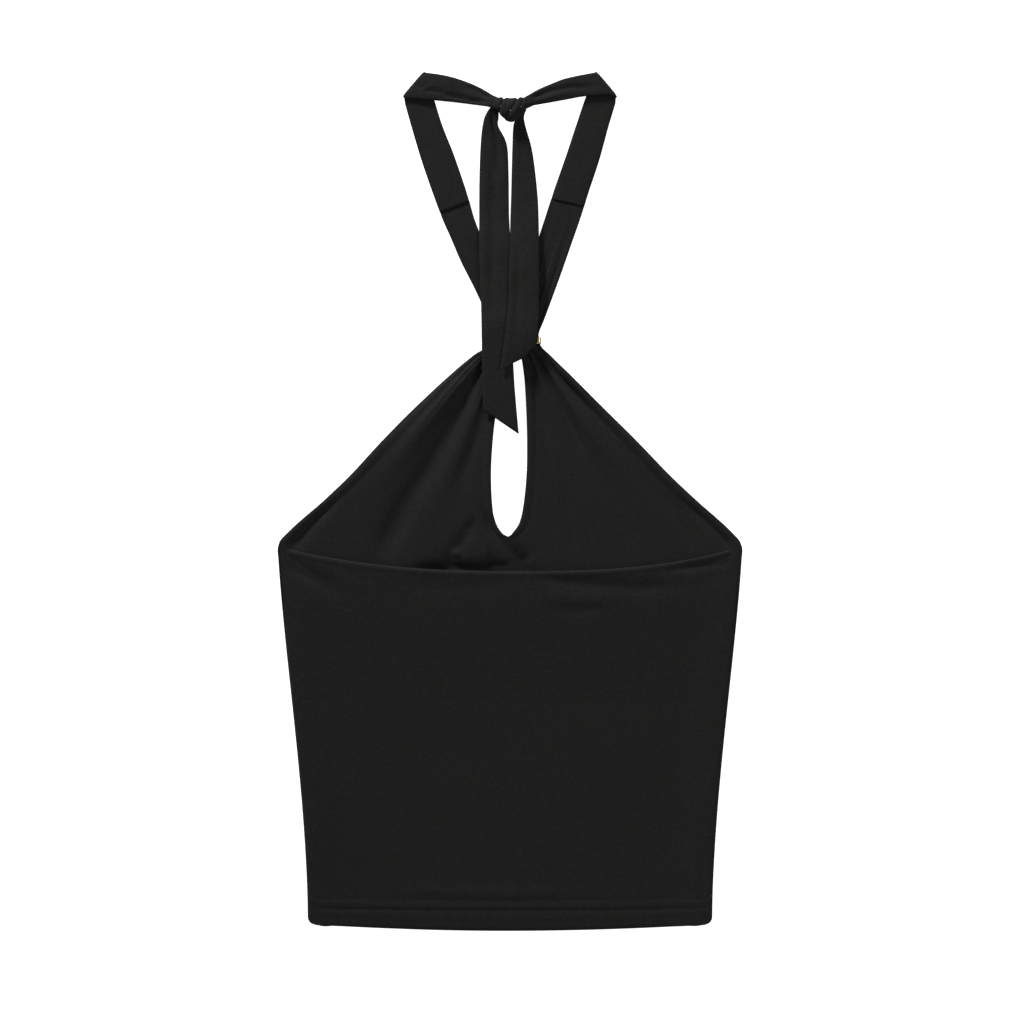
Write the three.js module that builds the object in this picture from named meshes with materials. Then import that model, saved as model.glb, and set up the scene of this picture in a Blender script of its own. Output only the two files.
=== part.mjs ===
// Halter-neck top in double jersey, laid flat with its back up, in millimetres.
// +Z points up out of the surface that it lies on, +Y towards the neck and +X to the viewer's right.
// Pieces: the front (one cut with its two strap bases), the back, two ties and the gathering ring.

import * as THREE from "three";

// ---- driving dimensions ----
const CHEST_HALF = 175; // half the flat chest, at the armpits
const HEM_HALF = 152.5; // half the flat hem
const ARMPIT_Y = -36;
const HEM_Y = -324.3; // the hem's lowest point, at its middle
const HEM_RISE = 4.9; // how far the hem's corners lie above its middle
const HEM_CORNER = 6; // radius of the hem's corners, seen from above
const CLOTH = 1.2; // two layers of jersey
const HEM_CLOTH = 2; // the same, with the hem turned up
const HEM_DEPTH = 20;
const SEAM_GAP = 0.3;
const PANEL_GAP = 0.4; // air between the back and the front where they lie on each other
const SIDE_ROLL = 3; // outer radius of the rolled side edges
const ARMPIT_ROLL = 2.4;
const ROLL_SLOPE = 34; // how far in from a side edge the back sinks onto the front
const TIE = 2; // a tie is a tube of jersey pressed flat
const BASE_CLOTH = 1.6; // strap bases, with their edges turned in

const RING = { x: 5.7, y: 120.8, width: 35.6, height: 6.6, wall: 0.9, depth: 4.8 };
const KNOT = { x: 0.8, y: 294.3, z: 5.6, half: 9.6, rise: 4.4, turns: 1.5 };
const KNOT_END = { across: 4.4, up: 3.1 };
const KNOT_MIDDLE = { across: 7.9, up: 5.1 };

// ---- outlines, as short tables of stations from the hem towards the neck ----
const FAN_EDGE = [
  // the front's outer edges from armpit to ring
  { y: -44, left: -174.4, right: 174.4 },
  { y: -36, left: -175, right: 175 },
  { y: -30, left: -173, right: 172.6 },
  { y: -17.4, left: -160, right: 160 },
  { y: 0.8, left: -139, right: 139.2 },
  { y: 18.9, left: -120, right: 120 },
  { y: 43, left: -97.8, right: 96.8 },
  { y: 67.2, left: -74.4, right: 72.7 },
  { y: 91.4, left: -49.1, right: 48.6 },
  { y: 109, left: -28.6, right: 30.4 },
  { y: 116, left: -15.8, right: 23.6 },
  { y: 120.8, left: -10.9, right: 22.3 },
  { y: 126, left: -11.3, right: 21.6 },
  { y: 136.7, left: -15.9, right: 25.8 },
  { y: 160.8, left: -27, right: 34.7 },
  { y: 185, left: -39, right: 43.2 },
  { y: 209.1, left: -49.5, right: 51.6 },
  { y: 226, left: -52.9, right: 56.2 },
];
const SLIT_EDGE = [
  // the keyhole's edges, and above the ring the strap bases' inner edges
  { y: -26.8, left: -1.5, right: -1.5 },
  { y: -23.4, left: -6.6, right: 2.8 },
  { y: -17.4, left: -10.3, right: 6.9 },
  { y: -5.3, left: -13.3, right: 10 },
  { y: 18.9, left: -14.5, right: 12.6 },
  { y: 43, left: -13.4, right: 13.1 },
  { y: 67.2, left: -10.6, right: 12.6 },
  { y: 91.4, left: -5.4, right: 11.4 },
  { y: 109, left: 0.4, right: 9.2 },
  { y: 116, left: 3.9, right: 6.6 },
  { y: 120.8, left: 5.2, right: 6 },
  { y: 126, left: 4.7, right: 6.6 },
  { y: 136.7, left: 2.3, right: 8.3 },
  { y: 160.8, left: -4.9, right: 12.1 },
  { y: 185, left: -15.1, right: 17.4 },
  { y: 209.1, left: -25.7, right: 25.4 },
  { y: 226, left: -30.7, right: 31.1 },
];
const GATHERS = [
  // ridges that run out of the ring; at is the share of the way from outer edge to keyhole
  { side: "left", at: 0.3, width: 0.17, height: 1 },
  { side: "left", at: 0.68, width: 0.13, height: 0.8 },
  { side: "left", at: 0.97, width: 0.1, height: 0.5 },
  { side: "right", at: 0.06, width: 0.09, height: 0.5 },
  { side: "right", at: 0.35, width: 0.13, height: 1 },
  { side: "right", at: 0.67, width: 0.14, height: 0.75 },
  { side: "right", at: 0.98, width: 0.09, height: 0.6 },
];
const GATHER_SIZE = [
  // how far the front stands off the surface, and how tall its gathers are, past and in the ring
  { y: -60, lift: 0, ridge: 0 },
  { y: -40, lift: 0, ridge: 0 },
  { y: 0, lift: 0, ridge: 0.9 },
  { y: 60, lift: 0.1, ridge: 2 },
  { y: 95, lift: 0.5, ridge: 2.6 },
  { y: 114, lift: 1.2, ridge: 2.5 },
  { y: 118, lift: 1.35, ridge: 2.1 },
  { y: 124, lift: 1.35, ridge: 2.1 },
  { y: 140, lift: 0.5, ridge: 1.6 },
  { y: 175, lift: 0, ridge: 0.8 },
  { y: 226, lift: 0, ridge: 0 },
];
const BACK_TOP = { middle: -52.8, rise: 18.6, leftPower: 2.35, rightPower: 2.8 };
const SEAM_LEFT = { outer: 217.3, inner: 225.8 }; // where each strap base ends, at its edges
const SEAM_RIGHT = { outer: 222.2, inner: 227.4 };

// each tie from its seam, over the neck fold and to the knot: outer edge o, inner edge i
const STRAP_LEFT = [
  { ox: -53, oy: 217.7, oz: 1, ix: -30.7, iy: 226.2, iz: 1 },
  { ox: -58.7, oy: 233.3, oz: 1, ix: -35, iy: 240, iz: 1 },
  { ox: -67, oy: 257.5, oz: 1, ix: -43, iy: 263, iz: 1 },
  { ox: -74.2, oy: 281.6, oz: 1, ix: -51.3, iy: 284, iz: 1 },
  { ox: -79.4, oy: 300, oz: 1, ix: -59, iy: 309, iz: 1 },
];
const FOLD_LEFT = { ox: -80.6, oy: 304.6, ix: -64.4, iy: 323.6, radius: 1.2 };
const BAND_LEFT = [
  { ox: -77, oy: 303.6, oz: 3.5, ix: -55, iy: 321.9, iz: 3.5 },
  { ox: -58.1, oy: 302, oz: 3.8, ix: -43.4, iy: 319.4, iz: 3.8 },
  { ox: -42, oy: 300.4, oz: 3.6, ix: -30.3, iy: 315, iz: 3.6 },
  { ox: -28, oy: 298.6, oz: 4, ix: -20.5, iy: 310.3, iz: 4 },
  { ox: -17, oy: 297, oz: 5.8, ix: -13, iy: 305.6, iz: 5.8 },
];
const TAIL_RIGHT = [
  // the left tie's free end, which lies on the right of the two; o is its right edge here
  { ox: 15.2, oy: 296.4, oz: 3.6, ix: 10.6, iy: 291.6, iz: 3.6 },
  { ox: 14.6, oy: 290, oz: 3, ix: 7.4, iy: 287.2, iz: 3 },
  { ox: 12.2, oy: 281.6, oz: 2.2, ix: 2.6, iy: 280.6, iz: 2.2 },
  { ox: 16.9, oy: 263.5, oz: 1.1, ix: 1.6, iy: 263.5, iz: 1.1 },
  { ox: 20.6, oy: 233.3, oz: 1.1, ix: 0.9, iy: 233.3, iz: 1.1 },
  { ox: 21.7, oy: 209, oz: 3.2, ix: 0.2, iy: 209, iz: 2.4 },
  { ox: 21.9, oy: 180, oz: 4.4, ix: -0.4, iy: 180, iz: 6.6 },
  { ox: 21.8, oy: 150, oz: 6.4, ix: -1, iy: 150, iz: 8.6 },
  { ox: 21, oy: 132, oz: 9.4, ix: -2.8, iy: 132, iz: 10.9 },
  { ox: 20.4, oy: 119.3, oz: 9.7, ix: -5, iy: 114, iz: 11.1 },
  { ox: 15.1, oy: 112.5, oz: 9.8, ix: -6.2, iy: 106, iz: 11 },
  { ox: 9, oy: 106.8, oz: 9.7, ix: -7.2, iy: 99, iz: 10.7 },
];
const STRAP_RIGHT = [
  { ox: 56.2, oy: 222.6, oz: 1, ix: 31.1, iy: 227.8, iz: 1 },
  { ox: 59.5, oy: 233.3, oz: 1, ix: 34, iy: 237, iz: 1 },
  { ox: 67.5, oy: 257.5, oz: 1, ix: 42.4, iy: 261, iz: 1 },
  { ox: 74.1, oy: 281.6, oz: 1, ix: 50, iy: 284, iz: 1 },
  { ox: 79.6, oy: 300, oz: 1, ix: 58.6, iy: 309, iz: 1 },
];
const FOLD_RIGHT = { ox: 80.6, oy: 304.6, ix: 64.6, iy: 323.6, radius: 1.2 };
const BAND_RIGHT = [
  { ox: 76, oy: 306.3, oz: 3.5, ix: 52, iy: 320.8, iz: 3.5 },
  { ox: 57, oy: 305, oz: 3.8, ix: 41, iy: 318.2, iz: 3.8 },
  { ox: 42, oy: 302.4, oz: 3.6, ix: 31.4, iy: 314.6, iz: 3.6 },
  { ox: 29, oy: 300, oz: 4, ix: 21.5, iy: 310.3, iz: 4 },
  { ox: 18, oy: 297.8, oz: 5.8, ix: 14.4, iy: 306, iz: 5.8 },
];
const TAIL_LEFT = [
  // the right tie's free end, under the other one; o is its left edge here
  { ox: -15, oy: 298.4, oz: 3.6, ix: -11.4, iy: 292.4, iz: 3.6 },
  { ox: -18.6, oy: 293, oz: 3, ix: -10.8, iy: 289.6, iz: 3 },
  { ox: -20.2, oy: 286, oz: 2.4, ix: -9.8, iy: 284.6, iz: 2.4 },
  { ox: -22, oy: 270, oz: 1.2, ix: -1.9, iy: 269, iz: 1.2 },
  { ox: -23.1, oy: 245.4, oz: 1.1, ix: -1, iy: 245.4, iz: 1.1 },
  { ox: -23.3, oy: 215, oz: 1.6, ix: -0.9, iy: 215, iz: 1.1 },
  { ox: -23.2, oy: 196, oz: 3.9, ix: -0.9, iy: 196, iz: 3.2 },
  { ox: -22.6, oy: 170, oz: 4.5, ix: -0.9, iy: 170, iz: 4.4 },
  { ox: -21.9, oy: 150, oz: 5.6, ix: -0.5, iy: 150, iz: 5.6 },
  { ox: -21.5, oy: 132, oz: 8, ix: 0.4, iy: 132, iz: 8 },
  { ox: -21.2, oy: 112, oz: 8, ix: 2, iy: 112, iz: 8 },
  { ox: -20.8, oy: 92, oz: 7, ix: 3.6, iy: 85, iz: 7 },
  { ox: -20.4, oy: 68.7, oz: 6.4, ix: 6.6, iy: 50.2, iz: 6.4 },
];

const JERSEY = { color: 0x1f1f1e, roughness: 0.85, metalness: 0 };
const GOLD = { color: 0xe0c48a, roughness: 0.25, metalness: 1 };

// ---- helpers ----
const clamp01 = (value) => Math.min(1, Math.max(0, value));
const mix = (from, to, share) => from + (to - from) * share;
const smooth = (share) => clamp01(share) ** 2 * (3 - 2 * clamp01(share));
const bell = (offset) => (Math.abs(offset) < 1 ? Math.cos((offset * Math.PI) / 2) ** 2 : 0);

// value of one column of a table at y, on a smooth curve through its rows
function read(table, column, y) {
  const last = table.length - 1;
  if (y <= table[0].y) return table[0][column];
  if (y >= table[last].y) return table[last][column];
  const i = table.findIndex((row) => row.y > y) - 1;
  const slope = (k) => {
    const low = table[Math.max(k - 1, 0)];
    const high = table[Math.min(k + 1, last)];
    return (high[column] - low[column]) / (high.y - low.y);
  };
  const span = table[i + 1].y - table[i].y;
  const t = (y - table[i].y) / span;
  const rise = table[i + 1][column] - table[i][column];
  const start = slope(i) * span;
  const end = slope(i + 1) * span;
  return table[i][column] + start * t + (3 * rise - 2 * start - end) * t ** 2 + (start + end - 2 * rise) * t ** 3;
}

function mesh(name, geometry, finish) {
  geometry.computeVertexNormals();
  const piece = new THREE.Mesh(geometry, new THREE.MeshStandardMaterial(finish));
  piece.name = name;
  return piece;
}

function solid(vertices, triangles) {
  const geometry = new THREE.BufferGeometry();
  geometry.setAttribute("position", new THREE.Float32BufferAttribute(vertices.flatMap((v) => v.toArray()), 3));
  geometry.setIndex(triangles.flat());
  return geometry;
}

// a wall between two skins of the same triangles; the rims follow every free edge, so slits close too
function wall(outer, inner, triangles) {
  const edges = new Set(triangles.flatMap(([a, b, c]) => [`${a} ${b}`, `${b} ${c}`, `${c} ${a}`]));
  const shift = outer.length;
  const faces = [...triangles, ...triangles.map(([a, b, c]) => [a + shift, c + shift, b + shift])];
  for (const edge of edges) {
    const [a, b] = edge.split(" ").map(Number);
    if (edges.has(`${b} ${a}`)) continue;
    faces.push([b, a, a + shift], [b, a + shift, b + shift]);
  }
  return solid([...outer, ...inner], faces);
}

// ---- body ----
function bodyHalf(y) {
  const share = clamp01((ARMPIT_Y - y) / (ARMPIT_Y - HEM_Y));
  const taper = 0.5 * smooth(share) + 0.5 * Math.sin((share * Math.PI) / 2);
  return CHEST_HALF - (CHEST_HALF - HEM_HALF) * taper;
}

function cornerInset(above) {
  if (above >= HEM_CORNER) return 0;
  return HEM_CORNER - Math.sqrt(HEM_CORNER ** 2 - (HEM_CORNER - above) ** 2);
}

const hemLine = (across) => HEM_Y + HEM_RISE * across ** 2;
const clothAt = (above) => mix(HEM_CLOTH, CLOTH, smooth((above - HEM_DEPTH) / 5));
const rollAt = (y) => mix(SIDE_ROLL, ARMPIT_ROLL, smooth((y + 70) / 30));

// shares of a half panel, from its middle to its side: flat stations, then the angles of its roll
const FLAT_STATIONS = [0, 0.12, 0.24, 0.36, 0.48, 0.6, 0.72, 0.81, 0.88, 0.94, 1];
const ROLL_ANGLES = [22, 45, 67, 86.4];

// one half section of the body: distance from the middle, height above the surface, and its normal
function halfSection(half, roll, turn, height) {
  const flat = FLAT_STATIONS.map((share) => {
    const out = share * (half - roll);
    return { out, z: height(half - roll - out), nx: 0, nz: 1 };
  });
  const top = height(0);
  const rolled = ROLL_ANGLES.map((degrees) => {
    const angle = THREE.MathUtils.degToRad(degrees * turn);
    const drop = roll * (1 - Math.cos(angle));
    return { out: half - roll + roll * Math.sin(angle), z: top - drop, nx: Math.sin(angle), nz: Math.cos(angle) };
  });
  return [...flat, ...rolled];
}

function backPanel() {
  const rows = [0, 2, 5, 12, 20, 25, 60, 110, 160, 210, 245, 262, Infinity]; // heights above the hem, then the top
  const outer = [];
  const inner = [];
  const topOf = (across) => {
    const power = across < 0 ? BACK_TOP.leftPower : BACK_TOP.rightPower;
    return BACK_TOP.middle + BACK_TOP.rise * Math.abs(across) ** power;
  };
  const count = 2 * (FLAT_STATIONS.length + ROLL_ANGLES.length) - 1;
  for (const above of rows) {
    const level = Math.min(HEM_Y + above, ARMPIT_Y);
    const half = bodyHalf(level) - cornerInset(above);
    const cloth = clothAt(above);
    const roll = rollAt(level);
    const low = 2 * cloth + PANEL_GAP;
    const height = (inset) => mix(2 * roll, low, smooth(inset / ROLL_SLOPE));
    const section = halfSection(half, roll, 1, height);
    const place = (station, side) => {
      const across = (side * station.out) / half;
      const fade = 1 - smooth(above / 60);
      const y = above === Infinity ? topOf(across) : HEM_Y + above + HEM_RISE * across ** 2 * fade;
      const skin = new THREE.Vector3(side * station.out, y, station.z);
      outer.push(skin);
      inner.push(new THREE.Vector3(skin.x - side * station.nx * cloth, y, skin.z - station.nz * cloth));
    };
    [...section].reverse().forEach((station) => place(station, -1));
    section.slice(1).forEach((station) => place(station, 1));
  }
  const triangles = [];
  for (let row = 0; row < rows.length - 1; row += 1) {
    for (let column = 0; column < count - 1; column += 1) {
      const a = row * count + column;
      triangles.push([a, a + 1, a + count + 1], [a, a + count + 1, a + count]);
    }
  }
  return wall(outer, inner, triangles);
}

// ---- front ----
function gatherHeight(side, share, y) {
  const ridge = read(GATHER_SIZE, "ridge", y);
  const own = GATHERS.filter((gather) => gather.side === side);
  const wave = own.reduce((sum, gather) => sum + gather.height * bell((share - gather.at) / (2 * gather.width)), 0);
  return read(GATHER_SIZE, "lift", y) + ridge * Math.min(wave, 1);
}

function frontPanel() {
  const bodyRows = [0, 2, 5, 12, 20, 25, 60, 110, 160, 210, 245, 265, 280.3];
  const fanRows = [-40, -36, -31, -26.8, -25.8, -23.4, -17.4, -11, -4, 6, 18, 31, 43, 55, 67, 79, 91, 100, 107, 112];
  const strapRows = [115.5, 118, 120.8, 123.6, 126.5, 131, 138, 149, 161, 173, 185, 197, 209, 226];
  const perHalf = FLAT_STATIONS.length + ROLL_ANGLES.length;
  const outer = [];
  const inner = [];
  const left = [];
  const right = [];

  const addRow = (level, above, joined) => {
    const inFan = above === null;
    const half = inFan ? 0 : bodyHalf(level) - cornerInset(above);
    const cloth = inFan ? mix(CLOTH, BASE_CLOTH, smooth((level - 140) / 60)) : clothAt(above);
    const roll = rollAt(level);
    const turn = 1 - smooth((level - ARMPIT_Y + 2) / 20);
    const addHalf = (side) => {
      const sign = side === "left" ? -1 : 1;
      const edge = inFan ? read(FAN_EDGE, side, level) : sign * half;
      const slit = level < SLIT_EDGE[0].y ? mix(0, -1.5, smooth((level + 120) / 90)) : read(SLIT_EDGE, side, level);
      const reach = sign * (edge - slit);
      const section = halfSection(reach, roll, turn, () => 0);
      const flatReach = reach - roll;
      return section.map((station) => {
        const share = 1 - clamp01(station.out / reach);
        const lift = station.out <= flatReach || inFan ? gatherHeight(side, share, level) : 0;
        const across = (slit + sign * station.out) / CHEST_HALF;
        const fade = inFan ? 0 : 1 - smooth(above / 60);
        const seam = side === "left" ? SEAM_LEFT : SEAM_RIGHT;
        const slant = smooth((level - 185) / 41) * (mix(seam.outer, seam.inner, share) - 226);
        const y = level + HEM_RISE * Math.min(1, Math.abs(across) / 0.87) ** 2 * fade + (inFan ? slant : 0);
        const skin = new THREE.Vector3(slit + sign * station.out, y, -station.z + lift);
        outer.push(skin);
        inner.push(new THREE.Vector3(skin.x - sign * station.nx * cloth, y, skin.z + station.nz * cloth));
        return outer.length - 1;
      });
    };
    const leftRow = addHalf("left");
    const rightRow = addHalf("right");
    if (joined) rightRow[0] = leftRow[0];
    left.push(leftRow);
    right.push(rightRow);
  };
  bodyRows.forEach((above) => addRow(HEM_Y + above, above, true));
  fanRows.forEach((level) => addRow(level, null, level <= SLIT_EDGE[0].y));
  strapRows.forEach((level) => addRow(level, null, false));

  const triangles = [];
  for (let row = 0; row < left.length - 1; row += 1) {
    for (let column = 0; column < perHalf - 1; column += 1) {
      const l = [left[row][column], left[row][column + 1], left[row + 1][column + 1], left[row + 1][column]];
      const r = [right[row][column], right[row][column + 1], right[row + 1][column + 1], right[row + 1][column]];
      triangles.push([l[0], l[1], l[2]], [l[0], l[2], l[3]]);
      triangles.push([r[0], r[2], r[1]], [r[0], r[3], r[2]]);
    }
  }
  return wall(...dropUnused(outer, inner, triangles));
}

// leaves out vertices that no triangle uses
function dropUnused(outer, inner, triangles) {
  const used = [...new Set(triangles.flat())].sort((a, b) => a - b);
  const place = new Map(used.map((old, index) => [old, index]));
  const renumbered = triangles.map((triangle) => triangle.map((corner) => place.get(corner)));
  return [used.map((old) => outer[old]), used.map((old) => inner[old]), renumbered];
}

// ---- ties ----
const ACROSS = 6; // points across each face of a tie

// a tie's edge lines as three.js curves, so that its few stations give a smooth strip
function stations(table, steps) {
  const outerEdge = new THREE.CatmullRomCurve3(table.map((row) => new THREE.Vector3(row.ox, row.oy, row.oz)));
  const innerEdge = new THREE.CatmullRomCurve3(table.map((row) => new THREE.Vector3(row.ix, row.iy, row.iz)));
  return Array.from({ length: steps + 1 }, (_, step) => ({
    a: outerEdge.getPoint(step / steps),
    b: innerEdge.getPoint(step / steps),
  }));
}

// half a turn about the neck fold, from the strap below to the band above
function foldStations(fold, strapEnd) {
  const a = new THREE.Vector3(fold.ox, fold.oy, 0);
  const b = new THREE.Vector3(fold.ix, fold.iy, 0);
  const along = b.clone().sub(a).normalize();
  const out = new THREE.Vector3(along.y, -along.x, 0);
  const middle = strapEnd.a.clone().add(strapEnd.b).multiplyScalar(0.5);
  if (out.dot(middle.clone().sub(a)) > 0) out.negate();
  return [15, 50, 90, 130, 165].map((degrees) => {
    const angle = THREE.MathUtils.degToRad(degrees);
    const shift = out.clone().multiplyScalar(fold.radius * (Math.sin(angle) - 1));
    const z = 1 + fold.radius * (1 - Math.cos(angle));
    return { a: a.clone().add(shift).setZ(z), b: b.clone().add(shift).setZ(z) };
  });
}

// the two faces of a flat stretch of tie, as one closed ring of points for each station
function flatRings(list) {
  return list.map((station, index) => {
    const before = list[Math.max(index - 1, 0)];
    const after = list[Math.min(index + 1, list.length - 1)];
    const travel = after.a.clone().add(after.b).sub(before.a).sub(before.b);
    const span = station.b.clone().sub(station.a);
    const normal = travel.cross(span).normalize().multiplyScalar(TIE / 2);
    const shares = Array.from({ length: ACROSS }, (_, k) => k / (ACROSS - 1));
    const middle = shares.map((share) => station.a.clone().addScaledVector(span, share));
    const ring = [
      ...middle.map((point) => point.clone().add(normal)),
      ...middle.reverse().map((point) => point.clone().sub(normal)),
    ];
    // nothing lies below the surface
    return ring.map((point) => point.setZ(Math.max(point.z, 0)));
  });
}

// one tie's half of the knot at a place along it; the two ties turn about each other
function knotRing(along, facing, towards) {
  const bulge = 1 - along ** 2;
  const across = mix(KNOT_END.across, KNOT_MIDDLE.across, bulge);
  const up = mix(KNOT_END.up, KNOT_MIDDLE.up, bulge);
  const centre = new THREE.Vector3(KNOT.x + along * KNOT.half, KNOT.y + KNOT.rise * along ** 2, KNOT.z);
  const rim = (angle) => new THREE.Vector3(0, across * Math.cos(angle), up * Math.sin(angle));
  const start = rim(facing + (towards * Math.PI) / 2);
  const end = rim(facing - (towards * Math.PI) / 2);
  const clear = new THREE.Vector3(0, Math.cos(facing), Math.sin(facing)).multiplyScalar(SEAM_GAP * 0.9);
  const shares = Array.from({ length: ACROSS }, (_, k) => k / (ACROSS - 1));
  const arc = shares.map((share) => rim(facing + towards * Math.PI * (0.5 - share)));
  const chord = shares.map((share) => end.clone().lerp(start, share));
  return [...arc, ...chord].map((point) => point.add(centre).add(clear));
}

function tie(strap, fold, band, tail, direction) {
  const sided = (list) => (direction > 0 ? list : list.map(({ a, b }) => ({ a: b, b: a })));
  const strapPart = stations(strap, 8);
  const foldPart = foldStations(fold, strapPart[strapPart.length - 1]);
  const flat = flatRings(sided([...strapPart, ...foldPart, ...stations(band, 12)]));
  const free = flatRings(sided(stations(tail, 26)));
  const knotSteps = 18;
  const knot = Array.from({ length: knotSteps + 1 }, (_, step) => {
    const share = step / knotSteps;
    const along = direction * (2 * share - 1);
    const facing = Math.PI / 2 - direction * 2 * Math.PI * KNOT.turns * share;
    return knotRing(along, facing, direction);
  });
  return sweep([...flat, ...knot, ...free]);
}

// joins rings of points into one closed solid, capped between its two faces at each end
function sweep(rings) {
  const count = rings[0].length;
  const triangles = [];
  for (let row = 0; row < rings.length - 1; row += 1) {
    for (let k = 0; k < count; k += 1) {
      const a = row * count + k;
      const b = row * count + ((k + 1) % count);
      triangles.push([a, b + count, b], [a, a + count, b + count]);
    }
  }
  const cap = (first, flip) => {
    for (let k = 0; k < count / 2 - 1; k += 1) {
      const quad = [first + k, first + k + 1, first + count - 2 - k, first + count - 1 - k];
      const pair = [[quad[0], quad[1], quad[2]], [quad[0], quad[2], quad[3]]];
      triangles.push(...pair.map((face) => (flip ? [...face].reverse() : face)));
    }
  };
  cap(0, false);
  cap((rings.length - 1) * count, true);
  return solid(rings.flat(), triangles);
}

// ---- ring ----
function ovalPath(shape, width, height) {
  const radius = height / 2;
  const straight = width / 2 - radius;
  shape.moveTo(-straight, -radius);
  shape.lineTo(straight, -radius);
  shape.absarc(straight, 0, radius, -Math.PI / 2, Math.PI / 2, false);
  shape.lineTo(-straight, radius);
  shape.absarc(-straight, 0, radius, Math.PI / 2, Math.PI * 1.5, false);
  return shape;
}

function gatheringRing() {
  const profile = ovalPath(new THREE.Shape(), RING.width, RING.height);
  profile.holes.push(ovalPath(new THREE.Path(), RING.width - 2 * RING.wall, RING.height - 2 * RING.wall));
  const geometry = new THREE.ExtrudeGeometry(profile, { depth: RING.depth, bevelEnabled: false, curveSegments: 8 });
  geometry.translate(0, 0, -RING.depth / 2);
  geometry.rotateX(Math.PI / 2);
  return geometry;
}

// ---- the top ----
const top = new THREE.Group();
top.add(mesh("front", frontPanel(), JERSEY));
top.add(mesh("back", backPanel(), JERSEY));
top.add(mesh("tie_left", tie(STRAP_LEFT, FOLD_LEFT, BAND_LEFT, TAIL_RIGHT, 1), JERSEY));
top.add(mesh("tie_right", tie(STRAP_RIGHT, FOLD_RIGHT, BAND_RIGHT, TAIL_LEFT, -1), JERSEY));
const ring = mesh("ring", gatheringRing(), GOLD);
ring.position.set(RING.x, RING.y, RING.height / 2);
top.add(ring);

export default top;
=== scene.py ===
"""Halter-neck top in black double jersey, laid flat with its back up.

The row frame is in metres: +Z out of the surface, +Y towards the neck knot, +X to the right.
Sizes below are in millimetres and are turned into metres where a mesh is placed.
"""

import logging
import math
from collections.abc import Callable, Sequence
from dataclasses import dataclass
from enum import Enum

import bmesh
import bpy
import numpy as np
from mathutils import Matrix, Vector

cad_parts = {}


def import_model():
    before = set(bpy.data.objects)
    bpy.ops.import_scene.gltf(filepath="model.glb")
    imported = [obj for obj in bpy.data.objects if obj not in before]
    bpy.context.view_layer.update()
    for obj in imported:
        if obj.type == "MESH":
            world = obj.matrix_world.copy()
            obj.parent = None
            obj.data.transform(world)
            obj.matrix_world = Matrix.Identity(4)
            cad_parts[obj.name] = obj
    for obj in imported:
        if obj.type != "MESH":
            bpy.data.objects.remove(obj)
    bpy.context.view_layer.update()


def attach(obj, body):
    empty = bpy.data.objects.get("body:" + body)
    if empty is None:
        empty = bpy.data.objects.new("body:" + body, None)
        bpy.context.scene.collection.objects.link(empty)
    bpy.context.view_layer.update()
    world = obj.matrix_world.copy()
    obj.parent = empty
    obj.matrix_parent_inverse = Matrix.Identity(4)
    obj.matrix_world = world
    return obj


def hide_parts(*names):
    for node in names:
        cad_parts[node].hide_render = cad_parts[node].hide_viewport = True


logging.basicConfig(level=logging.INFO, format="%(message)s")
LOG = logging.getLogger("halter_top")

MM = 0.001

# ---- driving dimensions, in millimetres ----
CHEST_HALF = 175.0
HEM_HALF = 152.5
ARMPIT_Y = -36.0
HEM_Y = -324.3
HEM_RISE = 4.9
HEM_CORNER = 6.0
CLOTH = 1.1
STACK = 2.8  # height of back over front where they lie flat
SIDE_ROLL = 3.0
ARMPIT_ROLL = 2.4
ROLL_SLOPE = 34.0
TIE = 2.0
SLIT_Y = -26.8
SEAM_TOP = 226.0
CREASE_GAIN = 1.45  # every crease's depth is its own times this
NEEDLE_ROWS = (-301.6, -308.8)
STITCH_PITCH = 2.3
RING = {"x": 5.7, "y": 120.8, "width": 35.6, "height": 6.6, "wall": 0.9, "depth": 4.8}
KNOT = {"x": 0.8, "y": 294.3, "z": 5.8, "half": 9.6, "rise": 4.4, "turns": 1.5}
KNOT_END = (5.4, 3.5)
KNOT_MIDDLE = (9.0, 5.8)
FAN_FOOT = -44.0  # above this the front narrows towards the ring
ROLL_ANGLE = math.radians(86)
BACK_FLAT = 0.93  # share of the back's half grid that lies flat, before its side edge rolls
FRONT_FLAT = 0.92  # the same for the front
HEM_GRID = 0.12  # share of the back's grid rows that go to its hem, which needs finer ones
HEM_SHARE = 0.072  # share of the back's height that those rows cover
HEM_RATE = 0.6  # height gained for each share of grid rows, in the hem
BODY_RATE = 1.0545  # and above it
NEEDLE_DEPTH = 0.55

# ---- outlines: y, left, right ----
FAN_EDGE = (
    (-44.0, -174.4, 174.4),
    (-36.0, -175.0, 175.0),
    (-30.0, -173.0, 172.6),
    (-17.4, -160.0, 160.0),
    (0.8, -139.0, 139.2),
    (18.9, -120.0, 120.0),
    (43.0, -97.8, 96.8),
    (67.2, -74.4, 72.7),
    (91.4, -49.1, 48.6),
    (109.0, -28.6, 30.4),
    (116.0, -15.8, 23.6),
    (120.8, -10.9, 22.3),
    (126.0, -11.3, 21.6),
    (136.7, -15.9, 25.8),
    (160.8, -27.0, 34.7),
    (185.0, -39.0, 43.2),
    (209.1, -47.2, 51.0),
    (226.0, -52.9, 56.2),
)
SLIT_EDGE = (
    (-26.8, -1.5, -1.5),
    (-26.0, -3.6, 0.4),
    (-23.4, -6.6, 2.8),
    (-17.4, -10.3, 6.9),
    (-5.3, -13.3, 10.0),
    (18.9, -14.5, 12.6),
    (43.0, -13.4, 13.1),
    (67.2, -10.6, 12.6),
    (91.4, -5.4, 11.4),
    (109.0, 0.4, 9.2),
    (116.0, 3.9, 6.6),
    (120.8, 5.2, 6.0),
    (126.0, 4.7, 6.6),
    (136.7, 2.3, 8.3),
    (160.8, -4.9, 12.1),
    (185.0, -15.1, 17.4),
    (209.1, -25.7, 25.4),
    (226.0, -30.7, 31.1),
)
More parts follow.
